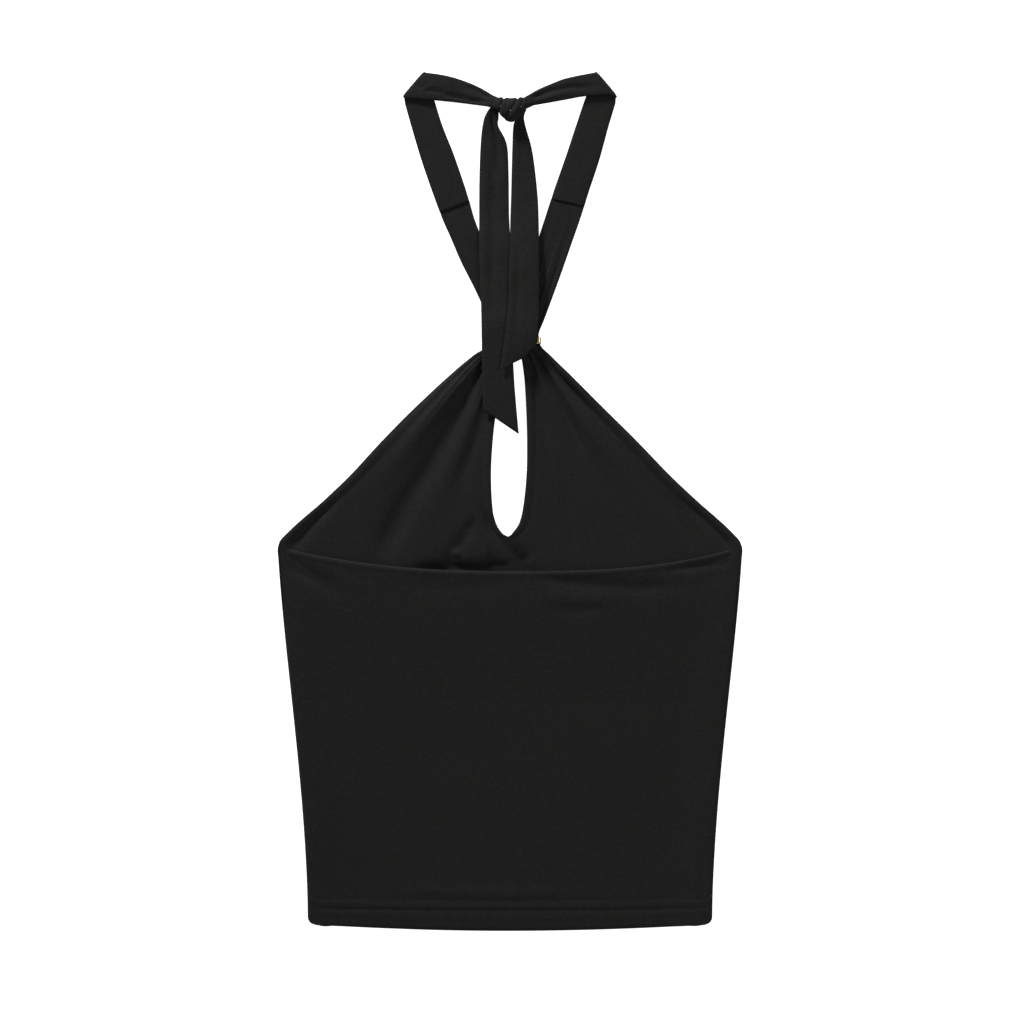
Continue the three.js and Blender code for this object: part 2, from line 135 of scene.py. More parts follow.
# y, stand-off, height of the gathers
GATHER_SIZE = (
    (-150.0, 0.0, 0.0),
    (-60.0, 3.2, 0.0),
    (-30.0, 3.7, 0.2),
    (60.0, 2.9, 0.8),
    (95.0, 1.8, 2.0),
    (114.0, 1.3, 2.3),
    (118.0, 1.35, 2.0),
    (124.0, 1.35, 2.0),
    (140.0, 0.6, 1.7),
    (175.0, 0.1, 1.1),
    (226.0, 0.0, 0.0),
)
# share of the way from outer edge to keyhole, width as a share, height
GATHERS_LEFT = (
    (0.1, 0.06, 0.5), (0.3, 0.12, 1.0), (0.5, 0.05, 0.35), (0.68, 0.11, 0.8), (0.97, 0.09, 0.6),
)
GATHERS_RIGHT = (
    (0.06, 0.08, 0.6), (0.35, 0.11, 1.0), (0.52, 0.05, 0.3), (0.67, 0.1, 0.75), (0.98, 0.09, 0.6),
)
BACK_TOP = {"middle": -52.8, "rise": 18.6, "left": 2.35, "right": 2.8}
# which y each share of the front's grid rows reaches
GRID_SHARES = (0, 0.04, 0.15, 0.3, 0.8, 1)
GRID_LEVELS = (HEM_Y, HEM_Y + 10, -70, SLIT_Y, 128, SEAM_TOP)
SEAM_ENDS = {"left": (218.0, 226.5), "right": (222.9, 228.1)}

# ---- ties: outer edge x, y, z and inner edge x, y, z ----
STRAP_LEFT = (
    (-53.0, 217.7, 1.0, -30.7, 226.2, 1.0),
    (-58.7, 233.3, 1.0, -35.0, 240.0, 1.0),
    (-67.0, 257.5, 1.0, -43.0, 263.0, 1.0),
    (-74.2, 281.6, 1.0, -51.3, 284.0, 1.0),
    (-79.4, 300.0, 1.0, -59.0, 309.0, 1.0),
)
FOLD_LEFT = (-80.6, 304.6, -64.4, 323.6, 1.2)
BAND_LEFT = (
    (-77.0, 303.6, 3.5, -55.0, 321.9, 3.5),
    (-58.1, 302.0, 3.8, -43.4, 319.4, 3.8),
    (-42.0, 300.4, 3.6, -30.3, 315.0, 3.6),
    (-28.0, 298.6, 4.0, -20.5, 310.3, 4.0),
    (-17.0, 297.0, 5.8, -13.0, 305.6, 5.8),
)
TAIL_RIGHT = (
    (12.4, 295.0, 3.4, 7.0, 290.0, 3.4),
    (10.6, 289.4, 3.0, 3.6, 286.4, 3.0),
    (12.0, 281.6, 2.2, 2.3, 280.6, 2.2),
    (16.9, 263.5, 1.1, 1.6, 263.5, 1.1),
    (20.6, 233.3, 1.1, 0.9, 233.3, 1.1),
    (21.7, 209.0, 3.6, 0.2, 209.0, 2.8),
    (21.9, 180.0, 5.4, -0.4, 180.0, 7.2),
    (21.8, 150.0, 7.4, -1.0, 150.0, 9.2),
    (21.0, 132.0, 9.6, -2.8, 132.0, 11.0),
    (20.4, 119.3, 9.8, -5.0, 114.0, 11.2),
    (15.1, 112.5, 9.8, -6.2, 106.0, 11.0),
    (9.0, 106.8, 9.7, -7.2, 99.0, 10.8),
)
STRAP_RIGHT = (
    (56.2, 222.6, 1.0, 31.1, 227.8, 1.0),
    (59.5, 233.3, 1.0, 34.0, 237.0, 1.0),
    (67.5, 257.5, 1.0, 42.4, 261.0, 1.0),
    (74.1, 281.6, 1.0, 50.0, 284.0, 1.0),
    (79.6, 300.0, 1.0, 58.6, 309.0, 1.0),
)
FOLD_RIGHT = (80.6, 304.6, 64.6, 323.6, 1.2)
BAND_RIGHT = (
    (76.0, 306.3, 3.5, 52.0, 320.8, 3.5),
    (57.0, 305.0, 3.8, 41.0, 318.2, 3.8),
    (42.0, 302.4, 3.6, 31.4, 314.6, 3.6),
    (29.0, 300.0, 4.0, 21.5, 310.3, 4.0),
    (18.0, 297.8, 5.8, 14.4, 306.0, 5.8),
)
TAIL_LEFT = (
    (-12.6, 299.0, 3.6, -8.4, 293.4, 3.6),
    (-17.0, 293.6, 3.2, -8.6, 288.6, 3.2),
    (-20.0, 286.4, 2.6, -8.8, 282.6, 2.6),
    (-22.0, 272.0, 1.3, -2.4, 269.0, 1.3),
    (-23.1, 245.4, 1.1, -1.0, 245.4, 1.1),
    (-23.3, 215.0, 1.8, -0.7, 215.0, 1.2),
    (-23.2, 196.0, 4.2, 0.4, 196.0, 3.6),
    (-22.6, 170.0, 5.0, 1.4, 170.0, 5.0),
    (-21.9, 150.0, 6.2, 1.2, 150.0, 6.2),
    (-21.5, 132.0, 8.0, 0.4, 132.0, 8.0),
    (-21.2, 112.0, 8.0, 2.0, 112.0, 8.0),
    (-20.8, 92.0, 7.6, 3.6, 85.0, 7.6),
    (-20.4, 68.7, 7.2, 6.6, 50.2, 7.0),
)


class Side(Enum):
    """Which half of the garment, with its sign along X."""

    LEFT = -1
    RIGHT = 1


@dataclass(frozen=True)
class Finish:
    """The look of one material."""

    name: str
    color: tuple[float, float, float]
    roughness: float
    metallic: float = 0.0
    sheen: float = 0.0
    grain: float = 0.0


JERSEY = Finish("jersey", (0.0150, 0.0150, 0.0143), 0.9, sheen=0.05, grain=0.5)
THREAD = Finish("thread", (0.0135, 0.0135, 0.013), 0.8)
GOLD = Finish("gold", (0.86, 0.66, 0.34), 0.2, metallic=1.0)


@dataclass(frozen=True)
class Crease:
    """A soft trough or ridge along a short line of listed points, in millimetres."""

    name: str
    line: tuple[tuple[float, float], ...]
    width: float
    depth: float
    end_width: float = 0.0
    start_fade: float = 0.25
    end_fade: float = 0.3

    def height(self, x: np.ndarray, y: np.ndarray) -> np.ndarray:
        """Height that the crease adds at each point.

        Args:
            x: Places along X, in millimetres.
            y: Places along Y, in millimetres.

        Returns:
            The height at each place, in millimetres.
        """
        points = np.array(self.line)
        lengths = np.hypot(*np.diff(points, axis=0).T)
        whole = lengths.sum()
        best = np.full(x.shape, 1e9)
        along = np.zeros(x.shape)
        start = 0.0
        for (ax, ay), (bx, by), length in zip(points[:-1], points[1:], lengths):
            t = np.clip(((x - ax) * (bx - ax) + (y - ay) * (by - ay)) / length**2, 0, 1)
            gap = np.hypot(x - ax - t * (bx - ax), y - ay - t * (by - ay))
            nearer = gap < best
            best = np.where(nearer, gap, best)
            along = np.where(nearer, (start + t * length) / whole, along)
            start += length
        end_width = self.end_width or self.width
        reach = self.width + (end_width - self.width) * along
        fade = smooth(along / self.start_fade) * smooth((1 - along) / self.end_fade)
        return CREASE_GAIN * self.depth * np.exp(-((best / reach) ** 2) * 2.2) * (0.12 + 0.88 * fade)


FRONT_CREASES = (
    Crease("outer left trough", ((-21, 114), (-53, 88), (-83, 57), (-104, 38)), 5, -1.5, 8, 0.1, 0.5),
    Crease("main left trough",
           ((-18, 104), (-30, 84), (-45, 54), (-60, 27), (-76, 1), (-92, -30), (-100, -55)),
           7, -2.3, 15, 0.1, 0.2),
    Crease("ridge left", ((-34, 96), (-62, 62), (-88, 28), (-118, -6)), 7, 1.3, 14, 0.1, 0.6),
    Crease("inner left trough", ((-17, 78), (-24, 50), (-35, 20), (-42, -8)), 5, -0.9, 9, 0.3, 0.5),
    Crease("inner left ridge", ((-24, 80), (-36, 44), (-52, 6), (-64, -24)), 5, 0.7, 10, 0.2, 0.6),
    Crease("sharp right trough", ((19, 112), (26, 99), (38, 76), (49, 50), (61, 26)),
           3.4, -2.3, 6.5, 0.05, 0.5),
    Crease("outer right trough", ((26, 107), (38, 91), (60, 72), (90, 40)), 5.5, -1.6, 11, 0.1, 0.5),
    Crease("right ridge", ((24, 106), (36, 86), (54, 60), (78, 28), (96, 0)), 4, 1.1, 12, 0.1, 0.6),
    Crease("inner right trough", ((14, 99), (20, 80), (27, 58), (31, 26)), 4.5, -1.1, 8, 0.1, 0.5),
    Crease("low right ray", ((36, 20), (44, -12), (51, -48)), 6, -0.7, 9, 0.4, 0.3),
    Crease("middle right ray", ((64, 36), (82, -4), (100, -48)), 7, -0.7, 12, 0.4, 0.3),
    Crease("far right ray", ((104, 18), (128, -8), (146, -40)), 7, -0.7, 10, 0.4, 0.3),
    Crease("left corner pocket", ((-128, 4), (-148, -16), (-166, -38)), 6, -1.5, 8, 0.3, 0.2),
    Crease("right corner pocket", ((132, 0), (152, -18), (168, -38)), 6, -1.5, 8, 0.3, 0.2),
    Crease("hollow right side", ((-21, -2), (-13, -22), (-2, -36), (12, -50)), 5.5, -2.0, 10, 0.3, 0.1),
    Crease("hollow left side", ((-24, -10), (-34, -28), (-50, -48)), 6, -1.2, 10, 0.3, 0.1),
    Crease("hollow core", ((-20, -51), (-3, -54), (14, -57)), 20, -1.7, 20, 0.05, 0.05),
    Crease("hollow foot", ((-76, -52), (-40, -51), (20, -55)), 8, -2.4, 9, 0.2, 0.2),
    Crease("hollow bump", ((-44, -38), (-37, -41)), 3.4, 1.3, 3.4, 0.5, 0.5),
)
BACK_CREASES = (
    Crease("trough below the top edge", ((12, -57), (40, -61), (98, -66), (138, -63)), 7, -1.0, 9, 0.3, 0.3),
    Crease("band below it", ((20, -72), (48, -74), (84, -75)), 6, 0.5, 7, 0.4, 0.4),
    Crease("second trough", ((26, -82), (50, -83), (76, -81)), 5, -0.35, 5, 0.4, 0.4),
    Crease("right tension", ((174, -42), (145, -48), (108, -53)), 5, -1.1, 5, 0.1, 0.5),
    Crease("left tension", ((-172, -44), (-150, -56), (-120, -74)), 6, -1.1, 10, 0.1, 0.5),
    Crease("long left dip", ((-90, -64), (-40, -66), (10, -63)), 9, -0.4, 9, 0.3, 0.3),
    Crease("low right dip", ((60, -210), (110, -250), (140, -282)), 26, -0.5, 30, 0.4, 0.4),
    Crease("middle dip", ((-110, -150), (-60, -185), (0, -200)), 24, -0.35, 30, 0.4, 0.4),
    Crease("bulge above the hem", ((-98, -293), (0, -296), (60, -294)), 6, 0.5, 6, 0.3, 0.3),
)
TIE_CREASES = (
    Crease("left band crease", ((-74, 315), (-60, 310), (-45, 306), (-30, 302), (-15, 300)),
           1.5, -1.3, 1.3, 0.2, 0.2),
    Crease("left band fold", ((-36, 313), (-26, 309.6), (-15, 303.5)), 1.5, -1.0, 1.3, 0.3, 0.1),
    Crease("right band fold", ((68, 312), (45, 312), (29, 308.8), (15, 302.8)), 2.4, -0.8, 1.8, 0.3, 0.1),
    Crease("right band lower fold", ((52, 309), (36, 306), (16, 300.5)), 2, 0.5, 1.6, 0.4, 0.2),
    Crease("left tail fold", ((-14.3, 293), (-13.6, 286), (-11.3, 276), (-9, 262), (-8, 244)),
           1.4, -1.6, 2.6, 0.1, 0.5),
    Crease("left tail stripe", ((-12.8, 262), (-13, 220), (-13.4, 180), (-13.4, 140)),
           2.8, -1.0, 2.8, 0.2, 0.3),
    Crease("left tail edge", ((-19, 270), (-19.4, 200), (-18.6, 140)), 2.4, 0.3, 2.4, 0.2, 0.2),
    Crease("right tail fold", ((5, 288), (6.4, 279), (8.6, 266), (8, 240)), 1.8, -0.7, 3, 0.1, 0.6),
    Crease("right tail stripe", ((6.4, 200), (5.6, 160), (3.4, 122)), 2.2, -0.9, 2.4, 0.3, 0.2),
)


def smooth(share: np.ndarray | float) -> np.ndarray:
    """Smooth step from 0 to 1."""
    t = np.clip(share, 0, 1)
    return t * t * (3 - 2 * t)


def read(table: Sequence[Sequence[float]], column: int, y: np.ndarray | float) -> np.ndarray:
    """Smooth curve through one column of a table.

    Args:
        table: Rows whose first column is y, rising.
        column: The column to read.
        y: Places to read at.

    Returns:
        The column's values at y.
    """
    rows = np.array(table)
    ys = rows[:, 0]
    vals = rows[:, column]
    slopes = np.gradient(vals, ys)
    slopes[1:-1] = (vals[2:] - vals[:-2]) / (ys[2:] - ys[:-2])
    at = np.clip(y, ys[0], ys[-1])
    i = np.clip(np.searchsorted(ys, at, side="right") - 1, 0, len(ys) - 2)
    span = ys[i + 1] - ys[i]
    t = (at - ys[i]) / span
    rise = vals[i + 1] - vals[i]
    start = slopes[i] * span
    end = slopes[i + 1] * span
    return vals[i] + start * t + (3 * rise - 2 * start - end) * t**2 + (start + end - 2 * rise) * t**3


def body_half(y: np.ndarray) -> np.ndarray:
    """Half width of the body below the armpits.

    Args:
        y: Places along Y, in millimetres.

    Returns:
        The half width at each place, in millimetres.
    """
    share = np.clip((ARMPIT_Y - y) / (ARMPIT_Y - HEM_Y), 0, 1)
    taper = 0.5 * smooth(share) + 0.5 * np.sin(share * math.pi / 2)
    return CHEST_HALF - (CHEST_HALF - HEM_HALF) * taper


def corner_inset(above: np.ndarray) -> np.ndarray:
    """How far the hem's rounded corners pull the side in.

    Args:
        above: Height over the hem, in millimetres.

    Returns:
        The inset at each height, in millimetres.
    """
    inside = np.clip(HEM_CORNER - above, 0, HEM_CORNER)
    return HEM_CORNER - np.sqrt(HEM_CORNER**2 - inside**2)


def roll_at(y: np.ndarray) -> np.ndarray:
    """Outer radius of the rolled side edge."""
    return SIDE_ROLL + (ARMPIT_ROLL - SIDE_ROLL) * smooth((y + 70) / 30)


def back_ends(across: np.ndarray | float) -> tuple[np.ndarray, np.ndarray]:
    """The back panel's hem and top edge.

    Args:
        across: Share of the half width, negative on the left.

    Returns:
        The y of the hem and of the top edge, in millimetres.
    """
    power = np.where(np.asarray(across) < 0, BACK_TOP["left"], BACK_TOP["right"])
    top = BACK_TOP["middle"] + BACK_TOP["rise"] * np.abs(across) ** power
    return HEM_Y + HEM_RISE * across**2, top


def needle_line(row: float, across: np.ndarray) -> np.ndarray:
    """Where a needle row runs: it bows less than the hem's edge does."""
    return row + 0.35 * HEM_RISE * across**2


def ripple(x: np.ndarray, y: np.ndarray) -> np.ndarray:
    """Very soft waviness of cloth that lies flat."""
    slow = np.sin(x / 31 + 0.7 * np.sin(y / 47)) * np.sin(y / 38 + 1.1 + 0.5 * np.sin(x / 53))
    quick = np.sin(x / 13.7 + y / 22 + 1.9 * np.sin(y / 61)) * np.sin(y / 17.3 - x / 39)
    return 0.26 * slow + 0.08 * quick


class Materials:
    """Procedural materials, made once each."""

    def __init__(self) -> None:
        self.made: dict[str, bpy.types.Material] = {}

    def get(self, finish: Finish) -> bpy.types.Material:
        """The material of a finish.

        Args:
            finish: What it looks like.

        Returns:
            The Blender material.
        """
        if finish.name not in self.made:
            self.made[finish.name] = self.build(finish)
        return self.made[finish.name]

    def build(self, finish: Finish) -> bpy.types.Material:
        """Makes the node tree of a finish."""
        material = bpy.data.materials.new(finish.name)
        material.use_nodes = True
        tree = material.node_tree
        shader = tree.nodes["Principled BSDF"]
        shader.inputs["Base Color"].default_value = (*finish.color, 1)
        shader.inputs["Roughness"].default_value = finish.roughness
        shader.inputs["Metallic"].default_value = finish.metallic
        shader.inputs["Sheen Weight"].default_value = finish.sheen
        shader.inputs["Sheen Roughness"].default_value = 0.45
        if finish.grain:
            shader.inputs["Specular IOR Level"].default_value = 0.22
            self.knit(tree, shader, finish)
        return material

    @staticmethod
    def knit(tree: bpy.types.NodeTree, shader: bpy.types.Node, finish: Finish) -> None:
        """Adds the jersey's fine wales and a faint unevenness of colour."""
        place = tree.nodes.new("ShaderNodeTexCoord")
        stretch = tree.nodes.new("ShaderNodeMapping")
        stretch.inputs["Scale"].default_value = (1.0, 0.35, 1.0)
        wales = tree.nodes.new("ShaderNodeTexNoise")
        wales.inputs["Scale"].default_value = 1500
        wales.inputs["Detail"].default_value = 2
        bump = tree.nodes.new("ShaderNodeBump")
        bump.inputs["Strength"].default_value = finish.grain
        bump.inputs["Distance"].default_value = 0.00025
        tree.links.new(place.outputs["Object"], stretch.inputs["Vector"])
        tree.links.new(stretch.outputs["Vector"], wales.inputs["Vector"])
        tree.links.new(wales.outputs["Fac"], bump.inputs["Height"])
        tree.links.new(bump.outputs["Normal"], shader.inputs["Normal"])
        patches = tree.nodes.new("ShaderNodeTexNoise")
        patches.inputs["Scale"].default_value = 420
        patches.inputs["Detail"].default_value = 4
        ramp = tree.nodes.new("ShaderNodeValToRGB")
        dark, light = ramp.color_ramp.elements
        dark.position, light.position = 0.3, 0.7
        dark.color = (*(0.8 * part for part in finish.color), 1)
        light.color = (*(1.2 * part for part in finish.color), 1)
        tree.links.new(place.outputs["Object"], patches.inputs["Vector"])
        tree.links.new(patches.outputs["Fac"], ramp.inputs["Fac"])
        tree.links.new(ramp.outputs["Color"], shader.inputs["Base Color"])


@dataclass
class Builder:
    """Turns surfaces into named, finished objects that ride on the row's only body."""

    materials: Materials

    def finish(self, name: str, mesh: bmesh.types.BMesh, look: Finish) -> bpy.types.Object:
        """Links a mesh as an object.

        Args:
            name: The object's name.
            mesh: Its shape, in metres.
            look: Its material.

        Returns:
            The new object.
        """
        data = bpy.data.meshes.new(name)
        mesh.to_mesh(data)
        mesh.free()
        data.polygons.foreach_set("use_smooth", [True] * len(data.polygons))
        data.materials.append(self.materials.get(look))
        piece = bpy.data.objects.new(name, data)
        bpy.context.scene.collection.objects.link(piece)
        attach(piece, "root")
        LOG.info("%s: %d faces", name, len(data.polygons))
        return piece

    @staticmethod
    def grid(mesh: bmesh.types.BMesh, columns: int, rows: int, surface: Callable) -> None:
        """Adds a grid and lays it on a surface.

        Args:
            mesh: The mesh to add to.
            columns: Faces across.
            rows: Faces along.
            surface: Gives x, y and z in millimetres from u and v, each from 0 to 1.
        """
        made = bmesh.ops.create_grid(mesh, x_segments=columns, y_segments=rows, size=0.5)["verts"]
        spots = np.array([vertex.co[:2] for vertex in made])
        low, high = spots.min(axis=0), spots.max(axis=0)
        shares = (spots - low) / (high - low)
        x, y, z = surface(shares[:, 0], shares[:, 1])
        for vertex, *place in zip(made, x, y, z):
            vertex.co = Vector(place) * MM

    @staticmethod
    def thicken(piece: bpy.types.Object, cloth: float, offset: float) -> None:
        """Gives a skin its cloth thickness.

        Args:
            piece: The skin.
            cloth: Thickness in millimetres.
            offset: 1 to grow along the normals, -1 against them.
        """
        shell = piece.modifiers.new("cloth", "SOLIDIFY")
        shell.thickness = cloth * MM
        shell.offset = offset
        shell.use_rim = True


@dataclass
class Body:
    """The front and the back panels."""

    builder: Builder

    def back_surface(self, u: np.ndarray, v: np.ndarray) -> tuple[np.ndarray, ...]:
        """The outer face of the back panel, which is up.

        Args:
            u: Share of the way from the left side to the right one.
            v: Share of the grid rows from hem to top edge.

        Returns:
            x, y and z in millimetres.
        """
        climbed = np.where(v < HEM_GRID, v * HEM_RATE, HEM_SHARE + (v - HEM_GRID) * BODY_RATE)
        share_up = np.minimum(climbed, 1)
        level = HEM_Y + (ARMPIT_Y - HEM_Y) * share_up
        half = body_half(level) - corner_inset(level - HEM_Y)
        roll = roll_at(level)
        side = np.where(u < 0.5, -1.0, 1.0)
        share = np.abs(2 * u - 1)
        flat = np.minimum(share / BACK_FLAT, 1)
        angle = np.clip((share - BACK_FLAT) / (1 - BACK_FLAT), 0, 1) * ROLL_ANGLE
        out = flat * (half - roll) + roll * np.sin(angle)
        across = side * out / half
        bottom, top = back_ends(across)
        y = bottom + (top - bottom) * share_up
        x = side * out
        inset = half - roll - flat * (half - roll)
        low = STACK + read(GATHER_SIZE, 1, y)
        z = 2 * roll + (low - 2 * roll) * smooth(inset / ROLL_SLOPE) - roll * (1 - np.cos(angle))
        inside = smooth(inset / 10)
        for crease in BACK_CREASES:
            z = z + crease.height(x, y) * np.maximum(inside, 0.35)
        z = z + ripple(x, y) * inside
        rise = y - bottom
        for row in NEEDLE_ROWS:
            z = z - NEEDLE_DEPTH * np.exp(-(((y - needle_line(row, across)) / 1.0) ** 2)) * inside
        z = z + 0.35 * np.exp(-(((rise - 19) / 4.0) ** 2)) + 0.25 * np.exp(-(((rise - 10) / 3.0) ** 2))
        z = z - 0.9 * np.exp(-((rise / 1.4) ** 2)) * inside
        edge = top - y
        z = z + 0.5 * np.exp(-(((edge - 2.2) / 1.8) ** 2)) * inside
        z = z - 0.8 * np.exp(-(edge**2)) * inside
        return x, y, z

    def back(self) -> bpy.types.Object:
        """The back panel."""
        mesh = bmesh.new()
        self.builder.grid(mesh, 220, 170, self.back_surface)
        piece = self.builder.finish("back_cloth", mesh, JERSEY)
        self.builder.thicken(piece, CLOTH, -1)
        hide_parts("back")
        return piece

    def front_half(self, side: Side) -> Callable:
        """The lower face of one half of the front panel, from its middle outwards."""
        sign = side.value
        column = 1 if side is Side.LEFT else 2
        gathers = GATHERS_LEFT if side is Side.LEFT else GATHERS_RIGHT
        outer_y, inner_y = SEAM_ENDS["left" if side is Side.LEFT else "right"]

        def surface(u: np.ndarray, v: np.ndarray) -> tuple[np.ndarray, ...]:
            level = np.interp(v, GRID_SHARES, GRID_LEVELS)
            in_fan = level > FAN_FOOT
            below = body_half(level) - corner_inset(level - HEM_Y)
            half = np.where(in_fan, sign * read(FAN_EDGE, column, level), below)
            middle = -1.5 * smooth((level + 120) / 90)
            slit = np.where(level <= SLIT_Y + 1e-6, middle, read(SLIT_EDGE, column, level))
            reach = half - sign * slit
            roll = roll_at(level)
            turn = 1 - smooth((level - ARMPIT_Y + 2) / 20)
            flat = np.minimum(u / FRONT_FLAT, 1)
            angle = np.clip((u - FRONT_FLAT) / (1 - FRONT_FLAT), 0, 1) * ROLL_ANGLE
            curled = angle * turn
            out_rolled = flat * (reach - roll) + roll * np.sin(curled)
            out = out_rolled + (u * reach - out_rolled) * (1 - turn)
            x = slit + sign * out
            share = 1 - np.clip(out / reach, 0, 1)
            fade = np.where(in_fan, 0, 1 - smooth((level - HEM_Y) / 60))
            slant = smooth((level - 185) / 41) * (outer_y + (inner_y - outer_y) * share - SEAM_TOP)
            bow = HEM_RISE * np.minimum(1, (x / body_half(level)) ** 2) * fade
            y = level + bow + np.where(in_fan, slant, 0)
            wave = sum(h * np.exp(-(((share - at) / w) ** 2)) for at, w, h in gathers)
            near = smooth((level - 40) / 60) * (1 - smooth((level - 135) / 70))
            fine = near * (0.3 * np.sin(46 * share + 2.1 * sign) + 0.16 * np.sin(83 * share + 1.3))
            z = read(GATHER_SIZE, 1, level) + read(GATHER_SIZE, 2, level) * np.minimum(wave, 1.1) + fine
            open_cloth = smooth((level + 75) / 20) * (1 - smooth((level - 108) / 8))
            for crease in FRONT_CREASES:
                z = z + crease.height(x, y) * open_cloth
            z = z + ripple(x, y) * open_cloth
            from_edge = reach - out
            from_slit = np.where(level > SLIT_Y, out, 99)
            outer_rim = 1.25 if side is Side.RIGHT else 0.75
            for distance, tall, wide in ((from_edge, outer_rim, 5.2), (from_slit, 0.6, 3.0)):
                rim = np.exp(-(((distance - 0.75 * wide) / (0.7 * wide)) ** 2))
                groove = np.exp(-(((distance - 2.1 * wide) / (0.6 * wide)) ** 2))
                z = z + open_cloth * (tall * rim - 0.3 * groove)
            z = z - 0.5 * np.exp(-((from_edge / 0.9) ** 2)) * open_cloth
            eased = np.logaddexp(0, 3 * z) / 3 - math.log(2) / 3 * (1 - open_cloth)
            z = np.where(in_fan, eased, np.maximum(z, 0))
            return x, y, np.maximum(z, 0) + roll * (1 - np.cos(curled)) * turn

        return surface

    def front(self) -> bpy.types.Object:
        """The front panel in one with its strap bases, with the slit between them."""
        mesh = bmesh.new()
        self.builder.grid(mesh, 100, 200, self.front_half(Side.LEFT))
        self.builder.grid(mesh, 100, 200, self.front_half(Side.RIGHT))
        slit_foot = [v for v in mesh.verts if v.co.y <= (SLIT_Y + 0.01) * MM]
        bmesh.ops.remove_doubles(mesh, verts=slit_foot, dist=0.02 * MM)
        bmesh.ops.recalc_face_normals(mesh, faces=mesh.faces)
        flattest = max(mesh.faces, key=lambda face: abs(face.normal.z))
        if flattest.normal.z < 0:
            bmesh.ops.reverse_faces(mesh, faces=mesh.faces)
        piece = self.builder.finish("front_cloth", mesh, JERSEY)
        self.builder.thicken(piece, CLOTH, 1)
        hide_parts("front")
        return piece

    def stitches(self) -> bpy.types.Object:
        """The twin-needle rows along the back's hem."""
        mesh = bmesh.new()
        for row in NEEDLE_ROWS:
            reach = HEM_HALF - 3.5
            count = int(2 * reach / STITCH_PITCH)
            for step in range(count + 1):
                x = -reach + 2 * reach * step / count
                across = x / HEM_HALF
                bottom, top = back_ends(across)
                share_up = (needle_line(row, across) - bottom) / (top - bottom)
                u = 0.5 + 0.5 * BACK_FLAT * x / (HEM_HALF - SIDE_ROLL)
                v = self.row_for(share_up)
                _, y, z = (float(part[0]) for part in self.back_surface(np.array([u]), np.array([v])))
                made = bmesh.ops.create_icosphere(mesh, subdivisions=2, radius=0.5)["verts"]
                bmesh.ops.scale(mesh, vec=(1.5 * MM, 0.55 * MM, 0.36 * MM), verts=made)
                bmesh.ops.translate(mesh, vec=Vector((x, y, z + 0.05)) * MM, verts=made)
        return self.builder.finish("hem_stitches", mesh, THREAD)

    @staticmethod
    def row_for(share_up: float) -> float:
        """The grid share at which the back reaches a share of its height."""
        if share_up < HEM_SHARE:
            return share_up / HEM_RATE
        return HEM_GRID + (share_up - HEM_SHARE) / BODY_RATE


